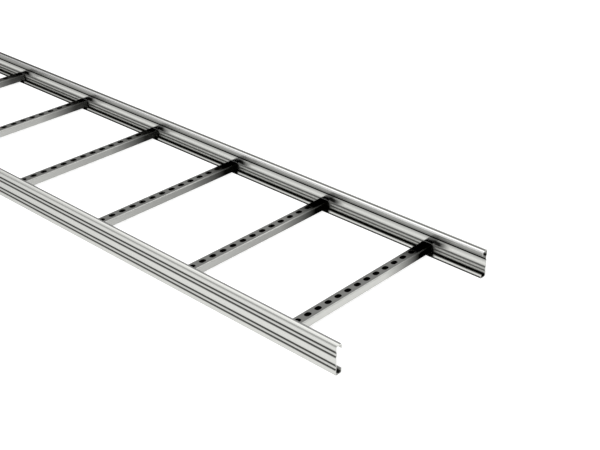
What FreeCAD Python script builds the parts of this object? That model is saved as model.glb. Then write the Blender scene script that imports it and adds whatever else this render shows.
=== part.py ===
# Cable ladder section: two roll-formed side rails joined by slotted rungs.
# Millimetres. X runs along the ladder, Y across it, Z up. The origin is on the floor,
# under the middle of the ladder.
import FreeCAD, Part
import math
import os

# Whole section
ladderLength = 3000.0
ladderWidth = 400.0         # over the outer faces of the two rails
rungSpacing = 250.0         # centre to centre
rungEndDistance = 125.0     # from the -X end of the rails to the middle of the first rung

# Side rail: a lipped channel of bent sheet, open towards the middle of the ladder
railSheet = 1.5
railHeight = 54.0
railFlange = 14.0           # from the outer face of the web to the outer face of the lip
railLip = 8.5               # from the outer face of the flange to the edge of the lip
railBend = 1.0              # inside radius of the four bends

# Two shallow stiffening beads, pressed into the web from outside
beadOffset = 11.9           # from mid height to the middle of each bead
beadFloor = 5.6             # flat height of a bead at its full depth
beadSlope = 2.2             # height of each sloping side
beadDepth = 1.2
beadBend = 0.5              # inside radius of the bends at the sloping sides

# Rung: a lipped channel, open side down, fixed between the webs of both rails
rungSheet = 1.5
rungWidth = 22.0
rungHeight = 16.0
rungLip = 5.0               # from the outer face of the wall to the edge of the lip
rungBend = 1.0              # inside radius of the four bends
rungRise = 3.0              # from the rail's lower flange up to the rung
cutClearance = 0.4          # between the cut-outs at a rung's ends and the rail's lip

# Slots along the top of each rung, with full round ends
slotCount = 13
slotPitch = 25.0
slotLength = 14.0           # along the rung, over both round ends
slotWidth = 10.0            # across the rung


def point(across, up):
    return FreeCAD.Vector(across, up, 0)


def roundedFace(corners, radii):
    """Flat face inside the corner points, with each corner rounded to its own radius."""
    starts = []
    ends = []
    middles = []
    for i, corner in enumerate(corners):
        back = (corners[i - 1] - corner).normalize()
        ahead = (corners[(i + 1) % len(corners)] - corner).normalize()
        half = back.getAngle(ahead) / 2
        reach = radii[i] / math.tan(half)
        starts.append(corner + back * reach)
        ends.append(corner + ahead * reach)
        inward = (back + ahead).normalize()
        middles.append(corner + inward * (radii[i] / math.sin(half) - radii[i]))
    edges = []
    for i, start in enumerate(starts):
        if start.distanceToPoint(ends[i - 1]) > 1e-6:
            edges.append(Part.makeLine(ends[i - 1], start))
        if radii[i] > 0:
            edges.append(Part.Arc(start, middles[i], ends[i]).toShape())
    return Part.Face(Part.Wire(edges))


def bentSheet(path, bends, sheet):
    """Section of a bent sheet. The path follows its outer face, with the sheet on the
    right-hand side of the path, and bends holds the inside radius at each inner point."""
    last = len(path) - 1
    steps = [(path[i + 1] - path[i]).normalize() for i in range(last)]
    rights = [point(step.y, -step.x) for step in steps]
    inner = [path[0] + rights[0] * sheet]
    pathRadii = [0]
    innerRadii = [0]
    for i in range(1, last):
        mitre = rights[i - 1] + rights[i]
        inner.append(path[i] + mitre * (sheet / (1 + rights[i - 1].dot(rights[i]))))
        turnsRight = steps[i - 1].cross(steps[i]).z < 0
        pathRadii.append(bends[i - 1] + (sheet if turnsRight else 0))
        innerRadii.append(bends[i - 1] + (0 if turnsRight else sheet))
    inner.append(path[last] + rights[-1] * sheet)
    pathRadii.append(0)
    innerRadii.append(0)
    return roundedFace(path + inner[::-1], pathRadii + innerRadii[::-1])


def beadPath(middle):
    """Points of the web's outer face at one bead, from the bottom up."""
    halfFloor = beadFloor / 2
    halfBead = halfFloor + beadSlope
    return [
        point(0, middle - halfBead),
        point(beadDepth, middle - halfFloor),
        point(beadDepth, middle + halfFloor),
        point(0, middle + halfBead),
    ]


def sideRail():
    """The rail on the -Y side: its section, drawn inwards from the outer face of the web,
    extruded along the ladder."""
    path = [point(railFlange, railLip), point(railFlange, 0), point(0, 0)]
    path += beadPath(railHeight / 2 - beadOffset)
    path += beadPath(railHeight / 2 + beadOffset)
    path += [point(0, railHeight), point(railFlange, railHeight)]
    path += [point(railFlange, railHeight - railLip)]
    bends = 2 * [railBend] + 8 * [beadBend] + 2 * [railBend]
    rail = bentSheet(path, bends, railSheet).extrude(FreeCAD.Vector(0, 0, ladderLength))
    acrossUpAlong = FreeCAD.Rotation(
        FreeCAD.Vector(0, 1, 0), FreeCAD.Vector(0, 0, 1), FreeCAD.Vector(1, 0, 0), "XYZ")
    start = FreeCAD.Vector(-ladderLength / 2, -ladderWidth / 2, 0)
    rail.Placement = FreeCAD.Placement(start, acrossUpAlong)
    return rail


def rungChannel(length):
    """Plain lipped channel, open side down, centred on X and Y and standing on Z = 0."""
    half = rungWidth / 2
    path = [
        point(-half + rungLip, 0),
        point(-half, 0),
        point(-half, rungHeight),
        point(half, rungHeight),
        point(half, 0),
        point(half - rungLip, 0),
    ]
    section = bentSheet(path, 4 * [rungBend], rungSheet)
    channel = section.extrude(FreeCAD.Vector(0, 0, length))
    channel.rotate(FreeCAD.Vector(0, 0, 0), FreeCAD.Vector(1, 0, 0), 90)
    channel.translate(FreeCAD.Vector(0, length / 2, 0))
    return channel


def slotTools():
    """One upright cutter for each slot, along the middle of the rung's top."""
    halfLength = slotLength / 2
    halfWidth = slotWidth / 2
    corners = [
        point(-halfWidth, -halfLength),
        point(halfWidth, -halfLength),
        point(halfWidth, halfLength),
        point(-halfWidth, halfLength),
    ]
    slot = roundedFace(corners, 4 * [halfWidth]).extrude(FreeCAD.Vector(0, 0, 2 * rungSheet))
    tools = []
    for i in range(slotCount):
        along = (i - (slotCount - 1) / 2) * slotPitch
        tool = slot.copy()
        tool.translate(FreeCAD.Vector(0, along, rungHeight - 1.5 * rungSheet))
        tools.append(tool)
    return tools


def endTools():
    """Cutters that clear the rail's upturned lip at both ends of a rung. Each stands on the
    lower flange, below the underside of the rung."""
    start = railFlange - railSheet - cutClearance
    width = railSheet + 2 * cutClearance
    height = railLip - railSheet + cutClearance
    tools = []
    for side in (-1, 1):
        block = Part.makeBox(rungWidth, width, height)
        middle = side * (ladderWidth / 2 - start - width / 2)
        block.translate(FreeCAD.Vector(-rungWidth / 2, middle - width / 2, -rungRise))
        tools.append(block)
    return tools


def rung():
    """A rung that butts against the lower beads of both rails, over their lower flanges."""
    length = ladderWidth - 2 * (railSheet + beadDepth)
    piece = rungChannel(length).cut(slotTools() + endTools())
    piece.translate(FreeCAD.Vector(0, 0, railSheet + rungRise))
    return piece


def writeStep(name, shape):
    solid = shape.Solids[0]
    print(name, len(shape.Solids), solid.isValid(), round(solid.Volume))
    solid.exportStep(os.path.join("parts", name + ".step"))


os.makedirs("parts", exist_ok=True)

leftRail = sideRail()
writeStep("side_rail_left", leftRail)
writeStep("side_rail_right", leftRail.mirror(FreeCAD.Vector(0, 0, 0), FreeCAD.Vector(0, 1, 0)))

oneRung = rung()
rungCount = math.floor((ladderLength - 2 * rungEndDistance) / rungSpacing + 1e-6) + 1
for number in range(rungCount):
    placed = oneRung.copy()
    along = rungEndDistance - ladderLength / 2 + number * rungSpacing
    placed.translate(FreeCAD.Vector(along, 0, 0))
    writeStep("rung_%02d" % (number + 1), placed)
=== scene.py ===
import math

import bmesh
import bpy
from mathutils import Matrix, Vector
from mathutils.noise import noise_vector as noiseVector, seed_set as setNoiseSeed


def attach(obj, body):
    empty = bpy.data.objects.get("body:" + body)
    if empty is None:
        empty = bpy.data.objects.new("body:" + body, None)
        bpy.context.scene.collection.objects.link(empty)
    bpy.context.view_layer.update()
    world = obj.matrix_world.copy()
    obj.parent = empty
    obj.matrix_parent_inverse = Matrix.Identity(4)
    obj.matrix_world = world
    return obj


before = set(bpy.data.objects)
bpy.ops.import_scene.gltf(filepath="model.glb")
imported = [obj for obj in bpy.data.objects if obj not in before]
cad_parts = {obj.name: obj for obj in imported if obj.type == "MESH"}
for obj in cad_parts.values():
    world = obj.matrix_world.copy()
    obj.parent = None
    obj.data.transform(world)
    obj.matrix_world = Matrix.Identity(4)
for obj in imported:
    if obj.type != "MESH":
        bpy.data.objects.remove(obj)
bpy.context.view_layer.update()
print("frame loaded:", len(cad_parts), "nodes")

scene = bpy.context.scene
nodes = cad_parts
railNames = [name for name in sorted(nodes) if name.startswith("side_rail")]
rungNames = [name for name in sorted(nodes) if name.startswith("rung")]


# Node helpers, used by every material

def newMaterial(name):
    material = bpy.data.materials.new(name)
    material.use_nodes = True
    tree = material.node_tree
    tree.nodes.clear()
    output = tree.nodes.new("ShaderNodeOutputMaterial")
    shader = tree.nodes.new("ShaderNodeBsdfPrincipled")
    tree.links.new(shader.outputs["BSDF"], output.inputs["Surface"])
    return material, tree, shader


def newGroup(name, inputs, outputs):
    group = bpy.data.node_groups.new(name, "ShaderNodeTree")
    for label, kind in inputs:
        group.interface.new_socket(label, in_out="INPUT", socket_type=kind)
    for label, kind in outputs:
        group.interface.new_socket(label, in_out="OUTPUT", socket_type=kind)
    source = group.nodes.new("NodeGroupInput")
    target = group.nodes.new("NodeGroupOutput")
    return group, source.outputs, target.inputs


def placeGroup(tree, group, values):
    node = tree.nodes.new("ShaderNodeGroup")
    node.node_tree = group
    for label, value in values.items():
        node.inputs[label].default_value = value
    return node


def connect(tree, value, socket):
    # A number is set on the socket, anything else is linked to it
    if isinstance(value, bpy.types.NodeSocket):
        tree.links.new(value, socket)
    else:
        socket.default_value = value


def math2(tree, operation, a, b=0.0, clamp=False):
    node = tree.nodes.new("ShaderNodeMath")
    node.operation = operation
    node.use_clamp = clamp
    connect(tree, a, node.inputs[0])
    connect(tree, b, node.inputs[1])
    return node.outputs[0]


def inverse(tree, value):
    return math2(tree, "SUBTRACT", 1.0, value)


def allOf(tree, *masks):
    result = masks[0]
    for mask in masks[1:]:
        result = math2(tree, "MULTIPLY", result, mask)
    return result


def anyOf(tree, *masks):
    result = masks[0]
    for mask in masks[1:]:
        result = math2(tree, "MAXIMUM", result, mask)
    return result


def bothOf(tree, first, second):
    # Two shades over each other
    return inverse(tree, allOf(tree, inverse(tree, first), inverse(tree, second)))


def mixColour(tree, amount, first, second):
    node = tree.nodes.new("ShaderNodeMix")
    node.data_type = "RGBA"
    connect(tree, amount, node.inputs["Factor"])
    connect(tree, first, node.inputs["A"])
    connect(tree, second, node.inputs["B"])
    return node.outputs["Result"]


def remap(tree, value, fromLow, fromHigh, toLow, toHigh):
    node = tree.nodes.new("ShaderNodeMapRange")
    connect(tree, value, node.inputs["Value"])
    for label, number in (("From Min", fromLow), ("From Max", fromHigh),
                          ("To Min", toLow), ("To Max", toHigh)):
        connect(tree, number, node.inputs[label])
    return node.outputs["Result"]


def noise(tree, vector, scale, detail, roughness):
    node = tree.nodes.new("ShaderNodeTexNoise")
    tree.links.new(vector, node.inputs["Vector"])
    node.inputs["Scale"].default_value = scale
    node.inputs["Detail"].default_value = detail
    node.inputs["Roughness"].default_value = roughness
    return node.outputs["Fac"]


def objectPoint(tree, stretch=(1.0, 1.0, 1.0)):
    coordinates = tree.nodes.new("ShaderNodeTexCoord")
    mapping = tree.nodes.new("ShaderNodeMapping")
    mapping.inputs["Scale"].default_value = stretch
    tree.links.new(coordinates.outputs["Object"], mapping.inputs["Vector"])
    return mapping.outputs["Vector"]


# Zinc: broad cloudy patches, fine speckle, and a height for the bump

zinc = {
    "cloud": (14.0, 4.0, 0.55),         # scale, detail and roughness of the noise
    "speckle": (420.0, 2.0, 0.6),
    "shares": (0.7, 0.3),               # of cloud and speckle in the blend
    "patchRange": (0.35, 0.65),         # of the blend, from no patch to a full one
    "dullRange": (0.3, 0.7),            # of the cloud, from smooth to dull
    "bump": 0.02,
    "bumpDistance": 0.001,
}


def makeZincGroup():
    group, source, target = newGroup(
        "zincSurface",
        [("Vector", "NodeSocketVector"), ("Light", "NodeSocketColor"), ("Dark", "NodeSocketColor"),
         ("Patches", "NodeSocketFloat"), ("Smooth", "NodeSocketFloat"), ("Dull", "NodeSocketFloat")],
        [("Colour", "NodeSocketColor"), ("Roughness", "NodeSocketFloat"),
         ("Height", "NodeSocketFloat")])
    cloud = noise(group, source["Vector"], *zinc["cloud"])
    speckle = noise(group, source["Vector"], *zinc["speckle"])
    cloudShare, speckleShare = zinc["shares"]
    blend = math2(group, "ADD", allOf(group, cloud, cloudShare), allOf(group, speckle, speckleShare))
    patches = allOf(group, remap(group, blend, *zinc["patchRange"], 0.0, 1.0), source["Patches"])
    roughness = remap(group, cloud, *zinc["dullRange"], source["Smooth"], source["Dull"])
    connect(group, mixColour(group, patches, source["Light"], source["Dark"]), target["Colour"])
    connect(group, roughness, target["Roughness"])
    connect(group, blend, target["Height"])
    return group


# A soft band around one value, such as the height of a bend

def makeBandGroup():
    group, source, target = newGroup(
        "heightBand",
        [("Height", "NodeSocketFloat"), ("Middle", "NodeSocketFloat"),
         ("Half Width", "NodeSocketFloat"), ("Softness", "NodeSocketFloat")],
        [("Mask", "NodeSocketFloat")])
    distance = math2(group, "ABSOLUTE", math2(group, "SUBTRACT", source["Height"], source["Middle"]))
    over = math2(group, "SUBTRACT", distance, source["Half Width"])
    fade = math2(group, "DIVIDE", over, source["Softness"])
    connect(group, math2(group, "SUBTRACT", 1.0, fade, clamp=True), target["Mask"])
    return group


zincGroup = makeZincGroup()
bandGroup = makeBandGroup()


# Marks: soft patches set by place, mostly of painted shade. A slope has four numbers: where it
# starts and ends, and its strength at both. A band has three: its middle, half width and softness.

def up(edge, softness):
    return (edge - softness, edge + softness, 0.0, 1.0)


def down(edge, softness):
    return (edge - softness, edge + softness, 1.0, 0.0)


def slope(tree, value, numbers):
    if len(numbers) == 4:
        return remap(tree, value, *numbers)
    middle, halfWidth, softness = numbers
    node = placeGroup(tree, bandGroup, {
        "Middle": middle, "Half Width": halfWidth, "Softness": softness})
    connect(tree, value, node.inputs["Height"])
    return node.outputs["Mask"]


def fromNearestRung(tree, x):
    wrap = tree.nodes.new("ShaderNodeMath")
    wrap.operation = "WRAP"
    connect(tree, math2(tree, "ADD", x, rung["first"]), wrap.inputs[0])
    wrap.inputs[1].default_value = rung["spacing"] / 2
    wrap.inputs[2].default_value = -rung["spacing"] / 2
    return wrap.outputs[0]


def measure(tree, at, name):
    # x, y and z are the point itself. The others are worked out from it when first needed.
    if name not in at:
        if name == "away":          # from the middle of the ladder to either side
            at[name] = math2(tree, "ABSOLUTE", at["y"])
        elif name == "along":       # from the middle of the ladder to either end
            at[name] = math2(tree, "ABSOLUTE", at["x"])
        elif name == "past":        # from the middle of the nearest rung, towards +X
            at[name] = fromNearestRung(tree, at["x"])
        elif name == "beside":      # from the middle of the nearest rung, either way
            at[name] = math2(tree, "ABSOLUTE", measure(tree, at, "past"))
    return at[name]


def mark(tree, at, spec):
    # The product of the faces that a mark lies on, its slopes along each measure, and its depth
    masks = []
    for key, value in spec.items():
        if key == "on":
            masks += [at[face] for face in value]
        elif key == "depth":
            masks.append(value)
        else:
            masks += [slope(tree, measure(tree, at, key), numbers) for numbers in value]
    return allOf(tree, *masks)


# Colours that all the steel shares

steel = {
    "light": (0.60, 0.602, 0.578, 1),       # the two colours of its patches
    "dark": (0.55, 0.556, 0.534, 1),
    "bright": (0.95, 0.95, 0.943, 1),       # a painted highlight where it catches the light, and its colour in reflections
    "shade": (0.003, 0.003, 0.0024, 1),     # painted shade, where a mark is at its full depth
    "edge": (0.35, 0.35, 0.35, 1),          # tint of the gloss at glancing angles
}


# Rails. All sizes and places are in metres.

sharp = 0.00005             # softness of an edge between two faces
lineSoftness = 0.0007       # of the lines along a rail
webMiddle = 0.19865         # between the web's outer and inner face
behindLips = 0.1880         # between the lips and the web

rail = {
    "stretch": (0.12, 1.0, 1.0),        # of the zinc's patches, which run along the sheet
    "smooth": 0.14,                     # lowest roughness
    "dull": 0.20,                       # highest roughness
    "patches": 0.6,                     # strength of the patches
    "light": steel["light"],
    "dark": steel["dark"],
    # What the marks lie on
    "faces": {
        "outside": {"away": [up(webMiddle, sharp)]},
        "inside": {"away": [down(webMiddle, sharp), up(behindLips, sharp)],
                   "z": [up(0.0010, 0.0001), down(0.0530, 0.0001)]},
        "lips": {"away": [down(behindLips, sharp)]},
        "flange": {"z": [up(0.0515, 0.0002)]},
        "farRail": {"y": [up(0.0, 0.01)]},
        "byJoint": {"on": ["inside"], "past": [up(0.0100, 0.0010)], "z": [down(0.0185, 0.0015)]},
    },
    "ends": {"along": [down(1.4999, sharp)]},       # no mark reaches the cut ends
    # Lines of painted shade along the web, dark on the beads' slopes and faint beside them. Each has
    # the height of its middle, its half width and its depth.
    "outsideLines": (
        (0.0107, 0.0012, 0.84), (0.0187, 0.0023, 0.85), (0.0345, 0.0012, 0.84),
        (0.0425, 0.0023, 0.85), (0.0147, 0.0024, 0.13), (0.0385, 0.0024, 0.13),
        (0.0215, 0.0010, 0.09), (0.0331, 0.0011, 0.12), (0.0455, 0.0012, 0.12)),
    "insideLines": (
        (0.0124, 0.0014, 0.74), (0.0191, 0.0014, 0.75), (0.0362, 0.0014, 0.75),
        (0.0429, 0.0014, 0.75)),
    "lift": (0.30, 1.30, -0.0011, 0.0001),          # of the painted shade on the lower bend, by x
    # Painted shade at bends, troughs, lips and joints. Where marks overlap, the darkest shows
    "marks": {
        "underOuterBend": {"on": ["outside"], "z": [up(0.0506, 0.0010)], "depth": 0.12},
        "trough": {"on": ["inside", "farRail"], "z": [down(0.0070, 0.0012)]},
        "underLip": {"on": ["inside"], "z": [(0.0262, 0.0368, 0.0, 0.70)]},
        "underLine": {"on": ["inside"], "z": [(0.0350, 0.0016, 0.0012)]},
        "aboveBead": {"on": ["inside"], "z": [up(0.0190, 0.0005), (0.0208, 0.0244, 1.0, 0.0)],
                      "x": [(0.25, 1.45, 0.72, 0.28)]},
        "underFlange": {"on": ["inside"], "z": [up(0.0400, 0.0015), down(0.0468, 0.0010)],
                        "depth": 0.97},
        "lowerCorner": {"on": ["inside"], "away": [down(0.1940, 0.0010)],
                        "z": [down(0.0030, 0.0005)], "depth": 0.97},
        "upperLip": {"away": [down(0.1868, 0.0003)],
                     "z": [up(0.0440, 0.0001), down(0.0519, 0.0009), (0.0452, 0.0483, 0.80, 0.54)]},
        "lowerLipBack": {"away": [(0.1875, 0.00015, 0.0001)], "z": [down(0.0042, 0.0001)],
                         "depth": 0.97},
        "lowerLipEdge": {"on": ["lips"], "z": [up(0.0078, 0.0002), down(0.0098, 0.0002)],
                         "depth": 0.65},
        "lowerLipFar": {"on": ["lips", "farRail"], "z": [(0.0058, 0.0082, 1.0, 0.0)],
                        "x": [(0.10, 1.30, 0.70, 0.02)]},
        "lowerLipByRung": {"on": ["lips"], "z": [down(0.0098, 0.0002)],
                           "beside": [down(0.0240, 0.0030)]},
        "lowerBend": {"on": ["lips"], "lifted": [down(0.0046, 0.0008)], "depth": 0.95},
        "flangeLineNear": {"on": ["flange"], "y": [(-0.1884, 0.0024, lineSoftness)], "depth": 0.78},
        "flangeLineFar": {"on": ["flange"], "y": [(0.1942, 0.0020, lineSoftness)], "depth": 0.78},
        "flangeFar": {"on": ["flange", "farRail"], "x": [(0.10, 1.35, 0.56, 0.0)],
                      "away": [(0.1872, 0.1918, 1.0, 0.0)]},
        "outerBend": {"away": [(0.1930, 0.1970, 0.0, 1.0)], "z": [up(0.05345, 0.0003)],
                      "x": [(0.98, 1.48, 0.33, 0.16)]},
        "besideJoint": {"on": ["byJoint"], "past": [down(0.0160, 0.0040)]},
        "aboveJoint": {"on": ["inside"], "past": [up(0.0100, 0.0060), down(0.0385, 0.0130)],
                       "z": [up(0.0204, 0.0016), down(0.0308, 0.0024)], "depth": 0.98},
    },
    # Painted shade that lies over the marks above and darkens them further
    "overlays": {
        "pastJoint": {"on": ["byJoint"], "past": [(0.0120, 0.0360, 0.55, 0.0)]},
        "lowWeb": {"on": ["inside"], "z": [down(0.0150, 0.0008)], "x": [(0.25, 1.25, 0.28, 0.0)]},
        "lowBead": {"on": ["inside"], "z": [(0.0138, 0.0012, 0.0010)],
                    "x": [(0.25, 1.25, 0.34, 0.13)]},
    },
    # A painted highlight along the bend above the upper lip
    "gleam": {"away": [down(0.1900, 0.0004)], "z": [up(0.0518, 0.0004)]},
    # Zinc that mirrors less, low on the inside of the web
    "grey": {"away": [up(behindLips, sharp), down(webMiddle, sharp)],
             "z": [down(0.0190, 0.0004)], "depth": 0.85},
}


def webLines(tree, z, lines):
    bands = [allOf(tree, slope(tree, z, (middle, halfWidth, lineSoftness)), depth)
             for middle, halfWidth, depth in lines]
    return anyOf(tree, *bands)


# Painted shade on the rails, from the faces, lines, marks and overlays above
def railShade(tree, at):
    for name, face in rail["faces"].items():
        at[name] = mark(tree, at, face)
    at["lifted"] = math2(tree, "ADD", at["z"], remap(tree, at["x"], *rail["lift"]))
    outsideLines = allOf(tree, at["outside"], webLines(tree, at["z"], rail["outsideLines"]))
    insideLines = allOf(tree, at["inside"], webLines(tree, at["z"], rail["insideLines"]))
    marks = [mark(tree, at, spec) for spec in rail["marks"].values()]
    shade = anyOf(tree, outsideLines, insideLines, *marks)
    for spec in rail["overlays"].values():
        shade = bothOf(tree, shade, mark(tree, at, spec))
    return allOf(tree, shade, mark(tree, at, rail["ends"]))


# Rungs

rungTop = 0.0203            # the flat top lies above this

rung = {
    "first": 1.375,             # from the first rung to the middle of the ladder
    "spacing": 0.25,
    "stretch": (1.0, 0.12, 1.0),
    "smooth": 0.30,
    "dull": 0.38,
    "patches": 0.6,
    "light": steel["light"],
    "dark": steel["dark"],
    # Painted shade, in the hollow, the slots and on the top. y leads to the far rail, where the shade
    # is darkest
    "marks": {
        "hollow": {"beside": [down(0.0097, sharp)], "z": [down(0.01905, 0.00003)]},
        "slots": {"beside": [down(0.0052, sharp)], "z": [down(0.02044, 0.00003)]},
        "top": {"z": [up(rungTop, 0.0001)], "y": [(0.106, 0.170, 0.70, 0.945)]},
        "topEnd": {"z": [up(rungTop, 0.0001)], "y": [up(0.175, 0.005)]},
    },
    # Painted shade on the side, growing towards the far rail
    "sideEnd": {"y": [(0.062, 0.160, 0.0, 1.0)], "x": [(0.10, 0.90, 0.86, 1.0)]},
    # Painted shade on the side: not on the rung next to the ladder's near end, and less towards the far
    # end
    "side": {"z": [down(rungTop - 0.0015, 0.001)], "y": [(-0.13, 0.08, 0.34, 0.68)],
             "x": [(1.10, 1.30, 1.0, 0.0), (0.30, 0.95, 0.55, 1.0)]},
    # The painted shade is a little lighter on the bend under the top
    "bend": {"z": [up(0.0184, 0.0005), down(rungTop, 0.0001)], "y": [down(0.170, 0.012)],
             "depth": 0.09},
    # In reflections a rung's top is painted dark close to the web only
    "mirrorTop": {"away": [(0.180, 0.190, 1.0, 0.0), (0.150, 0.180, 1.0, 0.62)]},
    "mirrorSide": 0.75,         # brightness of the side there
    "mirrorEdge": (rungTop - 0.0003, rungTop),
}


# Painted shade on the rungs, from the marks above
def rungShade(tree, at):
    marks = [mark(tree, at, spec) for spec in rung["marks"].values()]
    side = bothOf(tree, mark(tree, at, rung["sideEnd"]), mark(tree, at, rung["side"]))
    side = allOf(tree, side, inverse(tree, mark(tree, at, rung["bend"])))
    return anyOf(tree, side, *marks)


def rungMirror(tree, at):
    top = mark(tree, at, rung["mirrorTop"])
    return remap(tree, at["z"], *rung["mirrorEdge"], rung["mirrorSide"], top)


# The steel itself, from the dictionary of a piece

def makeSteel(name, look, shadeOf, mirrorOf=None):
    material, tree, shader = newMaterial(name)
    surface = placeGroup(tree, zincGroup, {
        "Light": look["light"], "Dark": look["dark"], "Patches": look["patches"],
        "Smooth": look["smooth"], "Dull": look["dull"]})
    tree.links.new(objectPoint(tree, look["stretch"]), surface.inputs["Vector"])
    split = tree.nodes.new("ShaderNodeSeparateXYZ")
    tree.links.new(objectPoint(tree), split.inputs["Vector"])
    at = {axis.lower(): split.outputs[axis] for axis in "XYZ"}
    path = tree.nodes.new("ShaderNodeLightPath")
    colour = surface.outputs["Colour"]
    # A painted highlight, on pieces that have one
    if "gleam" in look:
        colour = mixColour(tree, mark(tree, at, look["gleam"]), colour, steel["bright"])
    # The marks are painted shade, for the camera only. What the steel reflects has its own colour:
    # plain, or on rungs and welds with painted shade near the web.
    shade = allOf(tree, shadeOf(tree, at), path.outputs["Is Camera Ray"])
    colour = mixColour(tree, shade, colour, steel["shade"])
    mirrored = mirrorOf(tree, at) if mirrorOf else steel["bright"]
    colour = mixColour(tree, path.outputs["Is Glossy Ray"], colour, mirrored)
    connect(tree, colour, shader.inputs["Base Color"])
    connect(tree, surface.outputs["Roughness"], shader.inputs["Roughness"])
    metallic = inverse(tree, mark(tree, at, look["grey"])) if "grey" in look else 1.0
    connect(tree, metallic, shader.inputs["Metallic"])
    shader.inputs["Specular Tint"].default_value = steel["edge"]
    shader.inputs["Specular IOR Level"].default_value = 0.0
    bump = tree.nodes.new("ShaderNodeBump")
    bump.inputs["Strength"].default_value = zinc["bump"]
    bump.inputs["Distance"].default_value = zinc["bumpDistance"]
    connect(tree, surface.outputs["Height"], bump.inputs["Height"])
    connect(tree, bump.outputs["Normal"], shader.inputs["Normal"])
    return material


def coverNodes(names, material):
    for name in names:
        nodes[name].data.materials.clear()
        nodes[name].data.materials.append(material)


coverNodes(railNames, makeSteel("railSteel", rail, railShade))
coverNodes(rungNames, makeSteel("rungSteel", rung, rungShade, rungMirror))
print("steel on", len(railNames), "rails and", len(rungNames), "rungs")


# Weld beads that join the rungs to the webs: one down each side of a rung's end and one
# across its top

weld = {
    "segments": 10,
    "ripple": 0.0011,           # from one ripple to the next
    "steps": 3,                 # rings in each ripple
    "depth": 0.15,              # of the ripples, as a share of the radius
    "taperPower": 5,            # how late a bead narrows to its ends
    "leastTaper": 0.03,
    "rough": 0.00012,
    "roughScale": 500,
    "seed": 1,                  # without one the noise is another in every run
    "sideRadius": 0.0018,
    "sideAway": (0.0115, 0.1968),       # from the middle of the rung and of the ladder
    "sideHeights": (0.0070, 0.0190),
    "topRadius": 0.0012,
    "topHalf": 0.0095,
    "topAway": (0.1980, 0.0203),        # from the middle of the ladder, and up
    "stretch": (1.0, 1.0, 1.0),
    "smooth": 0.30,
    "dull": 0.45,
    "patches": 0.8,
    "light": (0.45, 0.455, 0.445, 1),
    "dark": (0.33, 0.335, 0.33, 1),
    # Painted shade: dark towards the far rail, a little less on the top bead
    "shade": {"y": [(-0.05, 0.05, 0.10, 0.99)], "z": [(0.0190, 0.0194, 1.0, 0.72)]},
}


def weldShade(tree, at):
    return mark(tree, at, weld["shade"])


def vertsOf(geom):
    return [item for item in geom if isinstance(item, bmesh.types.BMVert)]


def newEdges(bm, before):
    # In the mesh's own order, so that every run gives the same mesh
    return [edge for edge in bm.edges if edge.verts[0] not in before]


def addBead(bm, start, end, radius):
    before = set(bm.verts)
    along = Vector(end) - Vector(start)
    count = round(along.length / weld["ripple"]) * weld["steps"]
    ring = bmesh.ops.create_circle(bm, segments=weld["segments"], radius=radius)["verts"]
    bmesh.ops.spin(bm, geom=ring + newEdges(bm, before), steps=count, dvec=(0, 0, along.length / count),
                   angle=0.0, cent=(0, 0, 0), axis=(0, 0, 1), use_merge=False, use_duplicate=False)
    bead = [vertex for vertex in bm.verts if vertex not in before]
    for vertex in bead:
        fromMiddle = abs(2 * vertex.co.z / along.length - 1)
        taper = math.sqrt(max(weld["leastTaper"], 1 - fromMiddle ** weld["taperPower"]))
        wave = abs(math.sin(math.pi * vertex.co.z / weld["ripple"]))
        vertex.co.xy *= taper * (1 - weld["depth"] * (1 - wave))
    rims = [edge for edge in newEdges(bm, before) if edge.is_boundary]
    bmesh.ops.holes_fill(bm, edges=rims, sides=0)
    turn = along.to_track_quat("Z", "Y").to_matrix().to_4x4()
    bmesh.ops.transform(bm, matrix=Matrix.Translation(Vector(start)) @ turn, verts=bead)


def addJoint(bm, side):
    out, away = weld["sideAway"]
    low, high = weld["sideHeights"]
    for end in (-1, 1):
        addBead(bm, (end * out, side * away, low), (end * out, side * away, high), weld["sideRadius"])
    half = weld["topHalf"]
    away, height = weld["topAway"]
    addBead(bm, (-half, side * away, height), (half, side * away, height), weld["topRadius"])


def makeWelds(name, side):
    bm = bmesh.new()
    addJoint(bm, side)
    joint = bm.verts[:] + bm.edges[:] + bm.faces[:]
    for i in range(len(rungNames)):
        copied = bmesh.ops.duplicate(bm, geom=joint)["geom"]
        move = (i * rung["spacing"] - rung["first"], 0, 0)
        bmesh.ops.translate(bm, verts=vertsOf(copied), vec=move)
    bmesh.ops.delete(bm, geom=vertsOf(joint), context="VERTS")
    setNoiseSeed(weld["seed"])
    for vertex in bm.verts:
        vertex.co += weld["rough"] * noiseVector(vertex.co * weld["roughScale"])
    bmesh.ops.recalc_face_normals(bm, faces=bm.faces)
    for face in bm.faces:
        face.smooth = True
    mesh = bpy.data.meshes.new(name)
    bm.to_mesh(mesh)
    bm.free()
    piece = bpy.data.objects.new(name, mesh)
    scene.collection.objects.link(piece)
    mesh.materials.append(weldSteel)
    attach(piece, "root")
    print(name, len(mesh.polygons), "faces")


weldSteel = makeSteel("weldSteel", weld, weldShade, rungMirror)
makeWelds("welds_left", -1)
makeWelds("welds_right", 1)


# Floor, world and lamp

studio = {
    "floorSize": 60.0,
    "floorColour": (0.50, 0.50, 0.50, 1),
    "floorRoughness": 0.9,
    "floorGlow": 0.76,
    "white": (1, 1, 1, 1),
    "worldLight": (0.55, 0.55, 0.55, 1),
    # What the steel mirrors. Heights are of the direction, 0 level and 1 straight up.
    "dark": (0.05, 0.05, 0.05, 1),
    "grey": (0.75, 0.75, 0.75, 1),
    "strip": (1.75, 1.75, 1.75, 1),
    "back": up(0.1, 0.1),
    "horizon": up(0.28, 0.04),
    "stripHeights": (up(0.38, 0.03), down(0.66, 0.06)),
    "lampPlace": (1.0, -2.5, 4.0),
    "lampTarget": (0.5, 0, 0),
    "lampSize": 3.0,
    "lampPower": 140,
}


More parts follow.
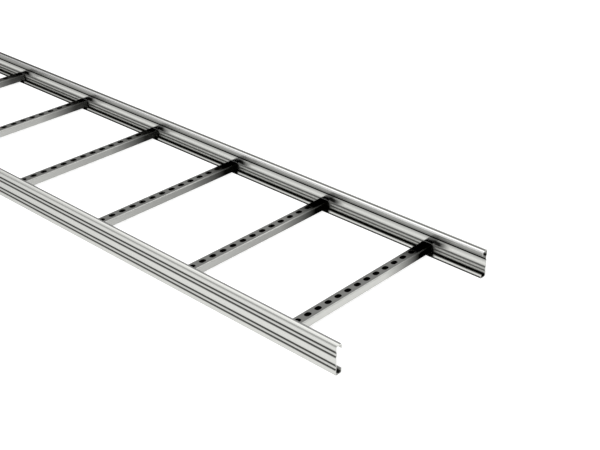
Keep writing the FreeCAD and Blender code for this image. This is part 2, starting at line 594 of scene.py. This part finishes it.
def makeFloor():
    bm = bmesh.new()
    bmesh.ops.create_grid(bm, x_segments=2, y_segments=2, size=studio["floorSize"] / 2)
    mesh = bpy.data.meshes.new("floor")
    bm.to_mesh(mesh)
    bm.free()
    floor = bpy.data.objects.new("floor", mesh)
    scene.collection.objects.link(floor)
    material, tree, shader = newMaterial("paleFloor")
    shader.inputs["Base Color"].default_value = studio["floorColour"]
    shader.inputs["Roughness"].default_value = studio["floorRoughness"]
    shader.inputs["Specular IOR Level"].default_value = 0.0
    shader.inputs["Emission Color"].default_value = studio["white"]
    path = tree.nodes.new("ShaderNodeLightPath")
    seen = math2(tree, "ADD", path.outputs["Is Camera Ray"], path.outputs["Is Glossy Ray"])
    seen = math2(tree, "ADD", seen, path.outputs["Is Transmission Ray"], clamp=True)
    connect(tree, allOf(tree, seen, studio["floorGlow"]), shader.inputs["Emission Strength"])
    mesh.materials.append(material)


def makeWorld():
    world = bpy.data.worlds.new("studio")
    world.use_nodes = True
    scene.world = world
    tree = world.node_tree
    tree.nodes.clear()
    output = tree.nodes.new("ShaderNodeOutputWorld")
    background = tree.nodes.new("ShaderNodeBackground")
    tree.links.new(background.outputs["Background"], output.inputs["Surface"])
    coordinates = tree.nodes.new("ShaderNodeTexCoord")
    split = tree.nodes.new("ShaderNodeSeparateXYZ")
    tree.links.new(coordinates.outputs["Generated"], split.inputs["Vector"])
    # A bright strip low over the back of the studio, dark at the horizon, grey above
    height = split.outputs["Z"]
    back = slope(tree, split.outputs["Y"], studio["back"])
    above = anyOf(tree, slope(tree, height, studio["horizon"]), inverse(tree, back))
    strip = allOf(tree, *[slope(tree, height, numbers) for numbers in studio["stripHeights"]], back)
    mirrored = mixColour(tree, above, studio["dark"], studio["grey"])
    mirrored = mixColour(tree, strip, mirrored, studio["strip"])
    path = tree.nodes.new("ShaderNodeLightPath")
    colour = mixColour(tree, path.outputs["Is Glossy Ray"], studio["worldLight"], mirrored)
    colour = mixColour(tree, path.outputs["Is Camera Ray"], colour, studio["white"])
    connect(tree, colour, background.inputs["Color"])


def makeLamp():
    light = bpy.data.lights.new("key", "AREA")
    light.shape = "RECTANGLE"
    light.size = studio["lampSize"]
    light.size_y = studio["lampSize"]
    light.energy = studio["lampPower"]
    lamp = bpy.data.objects.new("key", light)
    lamp.location = studio["lampPlace"]
    facing = Vector(studio["lampTarget"]) - Vector(studio["lampPlace"])
    lamp.rotation_euler = facing.to_track_quat("-Z", "Y").to_euler()
    lamp.visible_glossy = False
    scene.collection.objects.link(lamp)


makeFloor()
makeWorld()
makeLamp()
print("studio ready")


# Camera

view = {
    "place": (2.3852, -1.2465, 1.0104),
    "target": (1.1360, 0.1163, 0.0),
    "roll": 0.19,            # degrees
    "focal": 66.51,          # mm
    "sensor": 36.0,          # mm wide
}


def makeCamera():
    data = bpy.data.cameras.new("camera")
    data.lens = view["focal"]
    data.sensor_width = view["sensor"]
    camera = bpy.data.objects.new("camera", data)
    place = Vector(view["place"])
    turn = (Vector(view["target"]) - place).to_track_quat("-Z", "Y").to_matrix().to_4x4()
    roll = Matrix.Rotation(math.radians(view["roll"]), 4, "Z")
    camera.matrix_world = Matrix.Translation(place) @ turn @ roll
    scene.collection.objects.link(camera)
    scene.camera = camera


makeCamera()
scene.view_settings.view_transform = "Standard"
print("camera ready")
